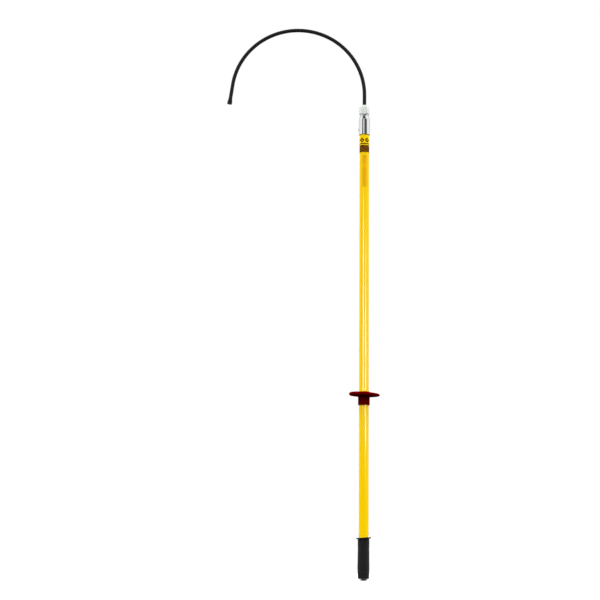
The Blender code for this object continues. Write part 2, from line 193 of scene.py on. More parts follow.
def labelFilm():
    look = labelLook
    paint = Paint("labelFilm", Specular_IOR_Level=0.02)
    arc = paint.around() * (2 * pi * look["radius"])
    pitch = look["markPitch"]
    across = paint.math("ABSOLUTE", paint.math("PINGPONG", arc, pitch) - pitch * 0.5)
    up = paint.math("ABSOLUTE", paint.z - look["markHeight"])
    lozenge = across * look["markSlope"] + up
    mark = (lozenge < look["markHalf"]) * (lozenge > look["markHalf"] - look["markStroke"])
    line = paint.math("ABSOLUTE", paint.z - look["lineHeight"]) < look["lineHalf"]
    block = paint.math("ABSOLUTE", paint.z - look["blockHeight"]) < look["blockHalf"]
    rows = paint.math("FRACT", (paint.z - look["blockHeight"]) / look["rowPitch"] + 0.5)
    dashes = paint.noise(1.0, 1.0, 0.5, paint.stretched(*look["dashes"]))
    detail = (rows > 0.45) * (rows < 0.85) * (dashes > 0.47) * block
    wear = paint.ramp(paint.noise(160.0, 5.0, 0.7), 0.62, 0.78)
    ink = paint.math("MAXIMUM", paint.math("MAXIMUM", mark, line), block) * (1.0 - wear * 0.3)
    colour = paint.blend(ink, look["film"], paint.blend(block * 0.8, look["ink"], look["brown"]))
    colour = paint.blend(detail, colour, look["detail"])
    return paint.finish(Base_Color=colour, Roughness=0.34 + wear * 0.2 - ink * 0.06,
                        Normal=paint.bump(ink, 0.00003, 0.6))


# The middle colour is a painted dark reflection: a darker stripe down the front of the print
printLook = {"film": rgb(245, 197, 20), "middle": rgb(238, 177, 6), "ink": rgb(170, 84, 6),
             "rowPitch": 0.0031, "rule": 1.4022, "ruleHalf": 0.0012, "columnHalf": 0.0085,
             "darkReflectionLeft": -0.0045, "darkReflectionRight": 0.0035}


def printFilm():
    look = printLook
    paint = Paint("printFilm", Specular_IOR_Level=0.04)
    row = paint.math("FRACT", paint.z / look["rowPitch"])
    words = paint.noise(1.0, 2.0, 0.6, paint.stretched(900.0, 900.0, 1 / look["rowPitch"]))
    gaps = paint.noise(1.0, 0.0, 0.5, paint.stretched(1.0, 1.0, 34.0))
    column = paint.within(paint.x, -look["columnHalf"], look["columnHalf"], 0.0003)
    ink = (row > 0.3) * (row < 0.72) * (words > 0.46) * (gaps > 0.42) * column
    rule = paint.within(paint.z, look["rule"] - look["ruleHalf"], look["rule"] + look["ruleHalf"],
                        0.0001) * column
    mask = paint.math("MAXIMUM", ink * 0.4, rule * 0.45)
    # Painted dark reflection: the middle stripe down the front is darker and more orange
    middle = paint.within(paint.x, look["darkReflectionLeft"], look["darkReflectionRight"], 0.0015)
    tone = paint.noise(40.0)
    colour = paint.blend(middle * 0.8 + tone * 0.2, look["film"], look["middle"])
    colour = paint.blend(mask, colour, look["ink"])
    return paint.finish(Base_Color=colour, Roughness=0.4 + tone * 0.08,
                        Normal=paint.bump(mask, 0.00002, 0.5))


def plating(name, shade, roughness, brushed, metallic=1.0):
    paint = Paint(name, Metallic=metallic)
    grime = paint.noise(70.0, 5.0, 0.65)
    turning = paint.noise(1.0, 2.0, 0.5, paint.stretched(8.0, 8.0, 5200.0))
    dull = paint.ramp(paint.noise(220.0, 4.0, 0.7), 0.58, 0.74)
    colour = paint.blend(grime, shade, tuple(0.92 * c for c in shade[:3]) + (1.0,))
    fine = paint.bump(turning, 0.000005, brushed)
    return paint.finish(Base_Color=colour, Roughness=roughness + grime * 0.04 + dull * 0.06,
                        Normal=paint.bump(grime, 0.00001, 0.1, fine))


def blackRubber(name, shade, roughness, grain, specular):
    paint = Paint(name, Specular_IOR_Level=specular)
    dust = paint.ramp(paint.noise(50.0, 5.0, 0.7), 0.5, 0.8)
    speckle = paint.noise(grain, 4.0, 0.6)
    colour = paint.blend(dust * 0.3, shade, tuple(1.7 * c for c in shade[:3]) + (1.0,))
    return paint.finish(Base_Color=colour, Roughness=roughness + dust * 0.12 - speckle * 0.06,
                        Normal=paint.bump(speckle, 0.00012, 0.5))


hookLook = {"black": rgb(32, 32, 32), "worn": rgb(50, 50, 51), "roughness": 0.36}


def hookCoating():
    look = hookLook
    paint = Paint("hookCoating", Specular_IOR_Level=0.15)
    lines = paint.node("ShaderNodeAttribute", {"attribute_name": "runLines"}, out="Vector")
    along = paint.node("ShaderNodeMapping", None, {0: lines, 3: (3.0, 40.0, 1.0)})
    drawn = paint.noise(1.0, 3.0, 0.6, along)
    scuffs = paint.ramp(paint.noise(140.0, 5.0, 0.75), 0.6, 0.72)
    orangePeel = paint.noise(900.0, 2.0)
    colour = paint.blend(scuffs * 0.3, look["black"], look["worn"])
    rough = look["roughness"] + scuffs * 0.2 + drawn * 0.06
    fine = paint.bump(drawn, 0.00006, 0.4)
    return paint.finish(Base_Color=colour, Roughness=rough,
                        Normal=paint.bump(orangePeel, 0.00005, 0.4, fine))


guardLook = {"red": rgb(92, 0, 0), "lighter": rgb(106, 1, 0), "bloom": rgb(112, 16, 4),
             "roughness": 0.34}


def guardVinyl():
    look = guardLook
    paint = Paint("guardVinyl", Specular_IOR_Level=0.0)
    cloud = paint.noise(38.0, 4.0, 0.6)
    bloom = paint.ramp(paint.noise(120.0, 5.0, 0.7), 0.55, 0.8)
    colour = paint.blend(cloud, look["red"], look["lighter"])
    colour = paint.blend(bloom * 0.15, colour, look["bloom"])
    rough = look["roughness"] + cloud * 0.1 + bloom * 0.12
    fine = paint.bump(paint.noise(700.0), 0.00005, 0.35)
    return paint.finish(Base_Color=colour, Roughness=rough,
                        Normal=paint.bump(cloud, 0.0002, 0.3, fine))


def plainTurned(name, shade, roughness, metallic, grain=400.0):
    paint = Paint(name, Metallic=metallic)
    tone = paint.noise(grain, 4.0, 0.65)
    colour = paint.blend(tone, shade, tuple(0.7 * c for c in shade[:3]) + (1.0,))
    return paint.finish(Base_Color=colour, Roughness=roughness + tone * 0.15,
                        Normal=paint.bump(tone, 0.00008, 0.4))


def foamCells():
    paint = Paint("foamCells", Roughness=0.9)
    cells = paint.node("ShaderNodeTexVoronoi", {"feature": "F1"},
                       {"Vector": paint.place, "Scale": 1400.0})
    colour = paint.blend(cells, rgb(236, 220, 170), rgb(206, 184, 126))
    return paint.finish(Base_Color=colour, Normal=paint.bump(cells, 0.0002, 0.7))


looks = {
    "pole": poleResin(),
    "label": labelFilm(),
    "print": printFilm(),
    "head": plating("headPlating", (0.84, 0.86, 0.85, 1.0), roughness=0.03, brushed=0.1),
    "nut": plating("nutPlating", (0.82, 0.86, 0.82, 1.0), roughness=0.5, brushed=0.1,
                   metallic=0.18),
    "pin": plating("zincPin", (0.6, 0.66, 0.74, 1.0), roughness=0.3, brushed=0.2, metallic=0.6),
    "butt": plating("buttAlloy", (0.78, 0.84, 0.8, 1.0), roughness=0.1, brushed=0.4),
    "steel": plainTurned("barSteel", (0.5, 0.5, 0.52, 1.0), roughness=0.32, metallic=1.0),
    "brass": plainTurned("bearingBrass", (0.62, 0.45, 0.2, 1.0), roughness=0.28, metallic=1.0),
    "seal": blackRubber("sealRubber", rgb(30, 30, 30), roughness=0.6, grain=1200.0, specular=0.3),
    "grip": blackRubber("gripRubber", rgb(31, 31, 31), roughness=0.52, grain=1500.0,
                        specular=0.12),
    "coating": hookCoating(),
    "guard": guardVinyl(),
    "foam": foamCells(),
    "laminate": plainTurned("laminate", rgb(196, 186, 120), roughness=0.5, metallic=0.0,
                            grain=900.0),
}
cadFinish = {
    "foam_core": "foam", "top_plug": "laminate", "bottom_seal_disc": "seal",
    "head_seal": "seal", "shank_bush": "brass", "shank_seal": "seal",
    "spring_washer": "steel", "thrust_washer": "brass", "hook_core": "steel",
    "hook_collar": "steel", "butt_o_ring": "seal", "butt_pin": "pin",
}
for nodeName, lookName in cadFinish.items():
    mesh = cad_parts[nodeName].data
    mesh.materials.clear()
    mesh.materials.append(looks[lookName])
print("materials ready:", len(looks))


def addPiece(name, mesh, look, body, slot, *nodes):
    mesh.name = name
    piece = bpy.data.objects.new(name, mesh)
    bpy.context.scene.collection.objects.link(piece)
    if look:
        mesh.materials.clear()
        mesh.materials.append(looks[look])
    mesh.shade_smooth()
    mesh.set_sharp_from_angle(angle=radians(40))
    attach(piece, body)
    if nodes:
        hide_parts(*nodes)


def roundCorners(points, closed, steps=4):
    # Points are (radius, height) or (radius, height, rounding); each rounded corner becomes an arc
    out = []
    count = len(points)
    for i, point in enumerate(points):
        here = Vector(point[:2])
        size = point[2] if len(point) > 2 else 0.0
        if not size or (not closed and i in (0, count - 1)):
            out.append(here)
            continue
        before = Vector(points[i - 1][:2]) - here
        after = Vector(points[(i + 1) % count][:2]) - here
        half = before.angle(after) / 2
        longest = 0.49 * min(before.length, after.length)  # leaves room for the next corner
        reach = min(size / tan(half), longest)
        radius = reach * tan(half)
        middle = (before.normalized() + after.normalized()).normalized()
        centre = here + middle * (radius / sin(half))
        first = here + before.normalized() * reach - centre
        last = here + after.normalized() * reach - centre
        turn = first.angle_signed(last)
        for k in range(steps + 1):
            angle = -turn * k / steps
            out.append(centre + Matrix.Rotation(angle, 2) @ first)
    return out


def turnedMesh(name, points, closed, sides=128, steps=4, bend=None):
    # Turns a profile round Z. It runs down the outer side; bend moves a finished point
    profile = roundCorners(points, closed, steps)
    vertices, faces, rings = [], [], []
    for radius, height in profile:
        if radius < 1e-7:
            rings.append([len(vertices)])
            vertices.append(Vector((0.0, 0.0, height)))
            continue
        rings.append(list(range(len(vertices), len(vertices) + sides)))
        vertices += [Vector((radius * sin(2 * pi * k / sides), -radius * cos(2 * pi * k / sides),
                             height)) for k in range(sides)]
    pairs = list(zip(rings, rings[1:] + rings[:1]))
    for upper, lower in (pairs if closed else pairs[:-1]):
        for k in range(sides):
            after = (k + 1) % sides
            if len(upper) == 1:
                faces.append((upper[0], lower[k], lower[after]))
            elif len(lower) == 1:
                faces.append((upper[k], lower[0], upper[after]))
            else:
                faces.append((upper[k], lower[k], lower[after], upper[after]))
    if bend:
        vertices = [bend(v) for v in vertices]
    mesh = bpy.data.meshes.new(name)
    mesh.from_pydata(vertices, [], faces)
    mesh.validate()
    return mesh


def nodeSpan(name):  # its lower end, upper end and radius
    low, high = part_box(name)
    return low.z, high.z, (high.x - low.x) / 2


def boreOnTube():  # of a moulding that is fixed on the tube
    return nodeSpan("pole_tube")[2] + 0.05 * mm


def fairStep(low, high, value):  # rises from 0 to 1 with no kink
    t = min(1.0, max(0.0, (value - low) / (high - low)))
    return t * t * (3 - 2 * t)


def geometryTree(name, sizes, *labels):
    # A tree with a geometry input and an input for each of the labelled sizes
    tree = bpy.data.node_groups.new(name, "GeometryNodeTree")
    face = tree.interface
    face.new_socket("Geometry", in_out="INPUT", socket_type="NodeSocketGeometry")
    for label in labels:
        kind = "NodeSocketInt" if isinstance(sizes[label], int) else "NodeSocketFloat"
        face.new_socket(label, in_out="INPUT", socket_type=kind)
    face.new_socket("Geometry", in_out="OUTPUT", socket_type="NodeSocketGeometry")
    return tree, tree.nodes.new("NodeGroupInput"), tree.nodes.new("NodeGroupOutput")


def treeNode(tree, kind, settings=None, sockets=None):
    made = tree.nodes.new(kind)
    for label, value in (settings or {}).items():
        setattr(made, label, value)
    for label, value in (sockets or {}).items():
        if isinstance(value, bpy.types.NodeSocket):
            tree.links.new(value, made.inputs[label])
        else:
            made.inputs[label].default_value = value
    return made


def closeTree(tree, last, finish, out):
    real = treeNode(tree, "GeometryNodeRealizeInstances", None, {"Geometry": last})
    dressed = treeNode(tree, "GeometryNodeSetMaterial", None,
                       {"Geometry": real.outputs[0], "Material": finish})
    tree.links.new(dressed.outputs[0], out.inputs[0])


def grown(name, data, tree, sizes):
    # The plain mesh that a tree makes from data, with its inputs set by identifier
    carrier = bpy.data.objects.new(name + "Carrier", data)
    bpy.context.scene.collection.objects.link(carrier)
    modifier = carrier.modifiers.new(name, "NODES")
    modifier.node_group = tree
    for socket in tree.interface.items_tree:
        if socket.in_out == "INPUT" and socket.name in sizes:
            modifier[socket.identifier] = sizes[socket.name]
    bpy.context.view_layer.update()
    evaluated = carrier.evaluated_get(bpy.context.evaluated_depsgraph_get())
    mesh = bpy.data.meshes.new_from_object(evaluated)
    bpy.data.objects.remove(carrier)
    return mesh


poleSizes = {"wall": 3.0 * mm, "edge": 0.4 * mm, "rings": 24}


def makePole():
    size = poleSizes
    low, high, radius = nodeSpan("pole_tube")
    inner = radius - size["wall"]
    rings = size["rings"]  # keeps the long faces in reasonable pieces
    outer = [(radius, high - (high - low) * k / rings) for k in range(1, rings)]
    profile = [(inner, high, size["edge"]), (radius, high, size["edge"])] + outer
    profile += [(radius, low, size["edge"]), (inner, low, size["edge"])]
    mesh = turnedMesh("poleTube", profile, closed=True, sides=128, steps=2)
    addPiece("poleTube", mesh, "pole", "pole", "pole_yellow", "pole_tube")


filmSizes = {"lift": 0.04 * mm, "thickness": 0.16 * mm, "bandSeam": radians(1.2),
             "bandCorner": 0.8 * mm, "printHalf": radians(37), "printCorner": 2.5 * mm}


def wrappedFilm(name, low, high, start, stop, corner, columns, rows):
    # A thin film that lies round the pole between two angles, its corners rounded
    inner = nodeSpan("pole_tube")[2] + filmSizes["lift"]
    outer = inner + filmSizes["thickness"]
    points = []
    for i in range(rows + 1):
        height = low + (high - low) * i / rows
        fromEnd = min(height - low, high - height)
        inset = 0.0
        if fromEnd < corner:
            inset = corner - sqrt(max(0.0, corner ** 2 - (corner - fromEnd) ** 2))
        trim = inset / outer
        for k in range(columns + 1):
            angle = start + trim + (stop - start - 2 * trim) * k / columns
            points.append((angle, height))
    vertices = [(r * sin(a), -r * cos(a), z) for r in (outer, inner) for a, z in points]
    wide = columns + 1
    layer = len(points)
    faces = []
    for i in range(rows):
        for k in range(columns):
            a = i * wide + k
            faces.append((a, a + 1, a + 1 + wide, a + wide))
            faces.append((layer + a, layer + a + wide, layer + a + 1 + wide, layer + a + 1))
    bottom = list(range(wide))
    top = [rows * wide + k for k in range(wide)]
    left = [i * wide for i in range(rows + 1)]
    right = [i * wide + columns for i in range(rows + 1)]
    for line, flip in ((bottom, True), (top, False), (left, False), (right, True)):
        for a, b in zip(line, line[1:]):
            quad = (a, b, b + layer, a + layer)
            faces.append(quad if not flip else quad[::-1])
    mesh = bpy.data.meshes.new(name)
    mesh.from_pydata(vertices, [], faces)
    mesh.validate()
    return mesh


def makeLabels():
    low, high, _ = nodeSpan("label_band")
    seam = filmSizes["bandSeam"]
    mesh = wrappedFilm("labelBand", low, high, -pi + seam, pi - seam, filmSizes["bandCorner"],
                       columns=128, rows=24)
    addPiece("labelBand", mesh, "label", "pole", "label_film", "label_band")
    low, high, _ = nodeSpan("print_label")
    half = filmSizes["printHalf"]
    mesh = wrappedFilm("printLabel", low, high, -half, half, filmSizes["printCorner"],
                       columns=28, rows=60)
    addPiece("printLabel", mesh, "print", "pole", "label_film", "print_label")


headSizes = {"rim": 0.5 * mm, "coneBase": 48.7 * mm, "neckBase": 66.0 * mm, "neckTop": 69.5 * mm,
             "neckRadius": 13.8 * mm, "threadRoot": 11.45 * mm, "boreRadius": 7.8 * mm,
             "boreBottom": 41.0 * mm, "socketRadius": 16.2 * mm, "socketTop": 32.8 * mm,
             "recessRadius": 17.6 * mm, "recess": 3.0 * mm, "shoulderSteps": 10}


def makeHead():
    size = headSizes
    low, high, radius = nodeSpan("head_body")
    tall, step = size["neckBase"] - size["coneBase"], radius - size["neckRadius"]
    ogive = (tall ** 2 + step ** 2) / (2 * step)  # an arc that meets the cylinder smoothly
    shoulder = []
    for k in reversed(range(size["shoulderSteps"])):
        rise = tall * k / size["shoulderSteps"]
        shoulder.append((radius - ogive + sqrt(ogive ** 2 - rise ** 2),
                         low + size["coneBase"] + rise))
    profile = [(0.0, low + size["boreBottom"]),
               (size["boreRadius"], low + size["boreBottom"], 0.3 * mm),
               (size["boreRadius"], high, 0.4 * mm),
               (size["threadRoot"], high, 0.7 * mm),
               (size["threadRoot"], low + size["neckTop"], 0.2 * mm),
               (size["neckRadius"], low + size["neckTop"], 0.7 * mm),
               (size["neckRadius"], low + size["neckBase"], 1.2 * mm)] + shoulder + [
               (radius, low, size["rim"]),
               (size["recessRadius"], low, 0.3 * mm),
               (size["recessRadius"], low + size["recess"], 0.2 * mm),
               (size["socketRadius"], low + size["recess"], 0.2 * mm),
               (size["socketRadius"], low + size["socketTop"], 0.2 * mm),
               (0.0, low + size["socketTop"])]
    mesh = turnedMesh("headBody", profile, closed=False, sides=160, steps=6)
    addPiece("headBody", mesh, "head", "pole", "head_metal", "head_body")


threadSizes = {"Turns": 8.2, "Pitch": 1.5 * mm, "Helix radius": 11.55 * mm,
               "Ridge": 0.58 * mm, "Steps": 560, "topGap": 0.8 * mm}


def makeThread():
    # A right-hand ridge round the spigot that the nut runs on
    tree, given, out = geometryTree("threadTree", threadSizes, "Turns", "Pitch", "Helix radius",
                                    "Ridge", "Steps")
    rise = treeNode(tree, "ShaderNodeMath", {"operation": "MULTIPLY"},
                    {0: given.outputs["Turns"], 1: given.outputs["Pitch"]})
    spiral = treeNode(tree, "GeometryNodeCurveSpiral", None,
                      {"Resolution": given.outputs["Steps"], "Rotations": given.outputs["Turns"],
                       "Start Radius": given.outputs["Helix radius"],
                       "End Radius": given.outputs["Helix radius"], "Height": rise.outputs[0],
                       "Reverse": False})
    upright = treeNode(tree, "GeometryNodeSetCurveNormal", {"mode": "Z_UP"},
                       {"Curve": spiral.outputs[0]})
    ridge = treeNode(tree, "GeometryNodeCurvePrimitiveCircle", None,
                     {"Resolution": 4, "Radius": given.outputs["Ridge"]})
    swept = treeNode(tree, "GeometryNodeCurveToMesh", None,
                     {"Curve": upright.outputs[0], "Profile Curve": ridge.outputs[0],
                      "Fill Caps": True})
    closeTree(tree, swept.outputs[0], looks["head"], out)
    high = nodeSpan("head_body")[1]
    seed = bpy.data.meshes.new("threadSeed")
    mesh = grown("headThread", seed, tree, threadSizes)
    length = threadSizes["Turns"] * threadSizes["Pitch"]
    mesh.transform(Matrix.Translation((0.0, 0.0, high - length - threadSizes["topGap"])))
    addPiece("headThread", mesh, None, "pole", "head_metal")


pinSizes = {"shank": 2.9 * mm, "cap": 4.4 * mm, "capDome": 1.5 * mm, "capEdge": 0.5 * mm,
            "capFlat": 0.55, "peen": 3.1 * mm, "peenDome": 0.35 * mm, "peenFlat": 0.7,
            "gap": 0.1 * mm}


def makePin():
    # Its own +Z points to -X: a domed head there, a peened end on the +X side
    size = pinSizes
    low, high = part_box("head_pin")
    height = (low.z + high.z) / 2
    radius = nodeSpan("head_body")[2]
    seat = radius + size["gap"]
    end = -radius - size["peenDome"]
    top = seat + size["capDome"]
    profile = [(0.0, top), (size["cap"] * size["capFlat"], top, 3 * mm),
               (size["cap"], seat + size["capEdge"], 0.4 * mm), (size["cap"], seat, 0.1 * mm),
               (size["shank"], seat, 0.1 * mm), (size["shank"], -radius + 0.6 * mm, 0.1 * mm),
               (size["peen"], -radius + 0.3 * mm, 0.2 * mm),
               (size["peen"] * size["peenFlat"], end, 0.8 * mm), (0.0, end)]
    mesh = turnedMesh("headPin", profile, closed=False, sides=48, steps=5)
    mesh.transform(Matrix.Translation((0.0, 0.0, height)) @ Matrix.Rotation(-pi / 2, 4, "Y"))
    addPiece("headPin", mesh, "pin", "pole", "pin_metal", "head_pin")


nutSizes = {"chamferRadius": 15.3 * mm, "chamferSlope": tan(radians(30)), "cornerRounding": 0.012,
            "hole": 7.6 * mm, "threadBore": 12.25 * mm, "lead": 0.9 * mm, "shoulder": 5.0 * mm,
            "edge": 0.35 * mm, "columns": 288}


def makeNut():
    # A hexagon in polar form: each side's distance, its corners eased, cut by a cone above and below
    size = nutSizes
    low, high, corner = nodeSpan("clamp_nut")
    flat = corner * cos(pi / 6)
    sides = size["columns"]

    def reach(angle):
        away = (angle % (pi / 3)) - pi / 6  # a flat faces the front
        return min(flat / cos(away), corner * (1 - size["cornerRounding"]))

    def ring(angle):
        outer = reach(angle)
        drop = max(0.0, outer - size["chamferRadius"]) * size["chamferSlope"]
        return [(size["threadBore"] + size["lead"], low, 0.3 * mm),
                (size["threadBore"], low + size["lead"], 0.3 * mm),
                (size["threadBore"], high - size["shoulder"], 0.3 * mm),
                (size["hole"], high - size["shoulder"], 0.3 * mm),
                (size["hole"], high, 0.5 * mm),
                (size["chamferRadius"], high, 0.6 * mm),
                (outer, high - drop, size["edge"]),
                (outer, low + drop, size["edge"]),
                (size["chamferRadius"], low, 0.6 * mm)]

    vertices, faces = [], []
    for k in range(sides):
        angle = 2 * pi * (k + 0.5) / sides
        profile = roundCorners(ring(angle + pi / 6), closed=True)
        vertices += [(r * sin(angle), -r * cos(angle), z) for r, z in profile]
    long = len(profile)
    for k in range(sides):
        here, there = k * long, ((k + 1) % sides) * long
        for i in range(long):
            j = (i + 1) % long
            faces.append((here + i, here + j, there + j, there + i))
    mesh = bpy.data.meshes.new("clampNut")
    mesh.from_pydata(vertices, [], faces)
    mesh.validate()
    addPiece("clampNut", mesh, "nut", "nut", "nut_metal", "clamp_nut")


hookSizes = {"splay": radians(8.5), "arcRadius": 0.223, "arcSteps": 150, "Bar radius": 6.2 * mm,
             "Sides": 40, "Spacing": 5.0 * mm, "wall": 0.9 * mm, "capCover": 3.3 * mm}
capSizes = {"length": 19.0 * mm, "mouth": 6.75 * mm, "end": 8.2 * mm, "bore": 6.3 * mm,
            "floor": 3.0 * mm}


def hookLine():
    # Up the shank, round the arc and down the free leg, from the boxes of the frame's nodes
    low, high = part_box("hook_sleeve")
    capLow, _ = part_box("hook_tip_cap")
    bar, splay, radius = hookSizes["Bar radius"], hookSizes["splay"], hookSizes["arcRadius"]
    centre = high.z - bar - radius
    points = [Vector((0.0, 0.0, low.z)), Vector((0.0, 0.0, centre))]
    sweep = pi - splay
    for k in range(1, hookSizes["arcSteps"] + 1):
        angle = sweep * k / hookSizes["arcSteps"]
        points.append(Vector((radius * (cos(angle) - 1), 0.0, centre + radius * sin(angle))))
    down = Vector((-sin(splay), 0.0, -cos(splay)))
    leg = (points[-1].z - capLow.z - capSizes["end"] * sin(splay)) / cos(splay)
    tip = points[-1] + down * leg
    return points, down, tip


def makeSleeve():
    points, down, tip = hookLine()
    curve = bpy.data.curves.new("hookLine", "CURVE")
    curve.dimensions = "3D"
    spline = curve.splines.new("POLY")
    line = points + [tip - down * hookSizes["capCover"]]
    spline.points.add(len(line) - 1)
    for point, place in zip(spline.points, line):
        point.co = (*place, 1.0)

    tree, given, out = geometryTree("sleeveTree", hookSizes, "Bar radius", "Sides", "Spacing")
    even = treeNode(tree, "GeometryNodeResampleCurve", {"mode": "LENGTH"},
                    {"Curve": given.outputs["Geometry"], "Length": given.outputs["Spacing"]})
    along = treeNode(tree, "GeometryNodeSplineParameter")
    marked = treeNode(tree, "GeometryNodeCaptureAttribute", None, {"Geometry": even.outputs[0]})
    marked.capture_items.new("FLOAT", "Along")
    tree.links.new(along.outputs["Length"], marked.inputs["Along"])
    circle = treeNode(tree, "GeometryNodeCurvePrimitiveCircle", None,
                      {"Resolution": given.outputs["Sides"], "Radius": given.outputs["Bar radius"]})
    turned = treeNode(tree, "GeometryNodeSplineParameter")
    ringed = treeNode(tree, "GeometryNodeCaptureAttribute", None, {"Geometry": circle.outputs[0]})
    ringed.capture_items.new("FLOAT", "Around")
    tree.links.new(turned.outputs["Factor"], ringed.inputs["Around"])
    swept = treeNode(tree, "GeometryNodeCurveToMesh", None,
                     {"Curve": marked.outputs[0], "Profile Curve": ringed.outputs[0],
                      "Fill Caps": False})
    pair = treeNode(tree, "ShaderNodeCombineXYZ", None,
                    {0: marked.outputs["Along"], 1: ringed.outputs["Around"]})
    stored = treeNode(tree, "GeometryNodeStoreNamedAttribute",
                      {"data_type": "FLOAT_VECTOR", "domain": "POINT"},
                      {"Geometry": swept.outputs[0], "Name": "runLines", "Value": pair.outputs[0]})
    closeTree(tree, stored.outputs[0], looks["coating"], out)
    mesh = grown("hookSleeve", curve, tree, hookSizes)
    shell = bpy.data.objects.new("shell", mesh)
    bpy.context.scene.collection.objects.link(shell)
    wall = shell.modifiers.new("wall", "SOLIDIFY")
    wall.thickness = hookSizes["wall"]
    wall.offset = -1.0
    bpy.context.view_layer.update()
    solid = bpy.data.meshes.new_from_object(
        shell.evaluated_get(bpy.context.evaluated_depsgraph_get()))
    bpy.data.objects.remove(shell)
    addPiece("hookSleeve", solid, "coating", "hook", "hook_coating", "hook_sleeve")


ferruleSizes = {"groove": 0.35 * mm, "grooveFrom": 0.22, "grooveTo": 0.68, "grooveSlope": 0.1,
                "gap": 0.1 * mm, "shankBore": 5.3 * mm, "floor": 0.8 * mm}


def makeFerrule():
    size = ferruleSizes
    low, high, radius = nodeSpan("sleeve_ferrule")
    inner = hookSizes["Bar radius"] + size["gap"]
    waist = radius - size["groove"]

    def fromTop(share):
        return high - (high - low) * share

    profile = [(inner, high, 0.2 * mm), (radius, high, 0.35 * mm),
               (radius, fromTop(size["grooveFrom"]), 0.3 * mm),
               (waist, fromTop(size["grooveFrom"] + size["grooveSlope"]), 0.3 * mm),
               (waist, fromTop(size["grooveTo"] - size["grooveSlope"]), 0.3 * mm),
               (radius, fromTop(size["grooveTo"]), 0.3 * mm),
               (radius, low, 0.35 * mm), (size["shankBore"], low, 0.2 * mm),
               (size["shankBore"], low + size["floor"], 0.1 * mm),
               (inner, low + size["floor"], 0.1 * mm)]
    mesh = turnedMesh("sleeveFerrule", profile, closed=True, sides=96, steps=4)
    addPiece("sleeveFerrule", mesh, "nut", "hook", "nut_metal", "sleeve_ferrule")


def makeTipCap():
    # Its own +Z points back along the leg
    size = capSizes
    long = size["length"]
    profile = [(0.0, size["floor"]), (size["bore"], size["floor"], 0.2 * mm),
               (size["bore"], long, 0.15 * mm), (size["mouth"], long, 0.25 * mm),
               (size["mouth"] + 0.1 * mm, long * 0.8, 4 * mm),
               (size["end"] - 0.35 * mm, long * 0.5, 5 * mm),
               (size["end"], long * 0.12, 1.0 * mm), (size["end"] - 0.15 * mm, 0.0, 0.7 * mm),
               (0.0, 0.0)]
    mesh = turnedMesh("hookTipCap", profile, closed=False, sides=72, steps=5)
    tip = hookLine()[2]
    mesh.transform(Matrix.Translation(tip) @ Matrix.Rotation(hookSizes["splay"], 4, "Y"))
    addPiece("hookTipCap", mesh, "grip", "hook", "hook_coating", "hook_tip_cap")


guardSizes = {"hub": 19.15 * mm, "collar": 18.3 * mm, "underside": 29.8 * mm, "top": 40.4 * mm,
              "fillet": 8.2 * mm, "droop": 1.4 * mm, "thinner": 1.8 * mm, "thin": 0.4 * mm,
              "flute": 0.25 * mm, "fluteTurn": 0.7, "lobes": 3, "shift": 1.8 * mm,
              "recess": 3.2 * mm, "recessFrom": 0.66, "recessTo": 0.8, "crown": 0.72}


def makeGuard():
    size = guardSizes
    low, high, radius = nodeSpan("hand_guard")
    under, top = low + size["underside"], low + size["top"]
    rim = (top - under) / 2
    bore = boreOnTube()
    profile = [(bore, high, 0.3 * mm), (size["collar"], high, 1.0 * mm),
               (size["collar"] + 3 * mm, top + 0.8 * mm, 4 * mm),
               (radius * size["crown"], top + 0.2 * mm, 20 * mm), (radius, top, rim * 0.97),
               (radius, under, rim * 0.97),
               (radius * size["recessTo"], under + size["recess"] * 0.5, 12 * mm),
               (radius * size["recessFrom"], under + size["recess"], 12 * mm),
               (size["hub"], under + size["recess"], size["fillet"]),
               (size["hub"], low, 0.9 * mm),
               (bore, low, 0.3 * mm)]

    def sag(v):  # the moulding is thinner and hangs a little on its +X side
        reach = fairStep(size["hub"], radius, Vector((v.x, v.y)).length)
        side = v.x / radius
        upper = fairStep(under, top, v.z)
        lean = size["droop"] * side
        loss = (size["thin"] + size["thinner"] * side) * upper
        wave = size["flute"] * sin(size["lobes"] * atan2(v.y, v.x) + size["fluteTurn"])
        return Vector((v.x + size["shift"] * reach, v.y, v.z + reach * (wave - lean - loss)))

    mesh = turnedMesh("handGuard", profile, closed=True, sides=192, steps=14, bend=sag)
    addPiece("handGuard", mesh, "guard", "pole", "guard_vinyl", "hand_guard")


gripSizes = {"lipTilt": 0.07, "lipDrop": 1.0 * mm, "lipThickness": 4.0 * mm,
             "lipFrom": 9 * mm, "lipTo": 2 * mm, "body": 18.5 * mm, "hem": 1.6 * mm,
             "swellOneSided": 1.1 * mm, "palmLow": 35 * mm, "palmHigh": 85 * mm,
             "palmFade": 0.4}
gripOutline = [  # height over the lower end, radius past the body and rounding, in millimetres
    (102, 0.0, 4), (98, -0.3, 4), (94, -0.3, 4), (83, 0.0, 20), (61, 0.0, 20), (42, 0.35, 20),
    (26.6, 0.35, 1.2), (24.4, -0.1, 1.0), (21.6, -0.1, 1.0), (19.4, 0.35, 1.2), (14, 0.35, 3),
    (8, -0.2, 3), (0, -0.1, 0.9),
]


